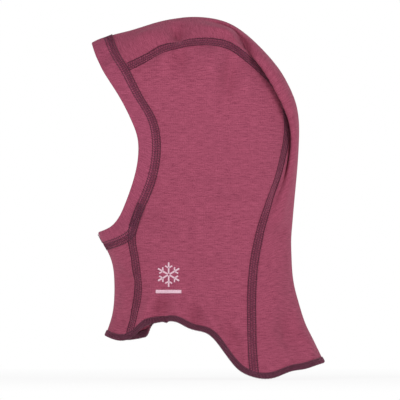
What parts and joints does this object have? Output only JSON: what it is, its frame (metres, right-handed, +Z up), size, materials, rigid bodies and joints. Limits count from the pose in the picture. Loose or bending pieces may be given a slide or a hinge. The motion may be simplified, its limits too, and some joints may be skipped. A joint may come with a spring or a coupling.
{
  "type": "knitted balaclava",
  "caption": "Child's knitted balaclava hood with an oval face opening, a folded face band, flatlock seams, a long flared neck and an overlocked hem.",
  "frame": {"origin": "middle of the head space, on the middle plane, where the wearer's head sits", "axes": "+Z up along the wearer's head and neck, -Y the way the face looks, +X the wearer's left"},
  "size_m": [0.1292, 0.2191, 0.3409],
  "materials": {
    "jersey": "fine heather raspberry jersey",
    "band_jersey": "the same jersey, folded double",
    "seam_thread": "bulk plum flatlock thread",
    "hem_thread": "dense plum overlock thread",
    "label_tape": "blank woven satin tape",
    "print_ink": "thin pale pink heat transfer"
  },
  "bodies": {
    "root": {"left_side_panel": "jersey", "right_side_panel": "jersey", "crown_back_panel": "jersey", "throat_panel": "jersey", "face_band": "band_jersey", "face_seam_cover": "seam_thread", "face_seam_looper": "seam_thread", "left_crown_seam_cover": "seam_thread", "right_crown_seam_cover": "seam_thread", "left_crown_seam_looper": "seam_thread", "right_crown_seam_looper": "seam_thread", "left_throat_seam_cover": "seam_thread", "right_throat_seam_cover": "seam_thread", "left_throat_seam_looper": "seam_thread", "right_throat_seam_looper": "seam_thread", "hem_overlock": "hem_thread", "band_join_stitch": "seam_thread", "care_label": "label_tape", "print_mark": "print_ink", "print_bar": "print_ink"}
  },
  "joints": []
}
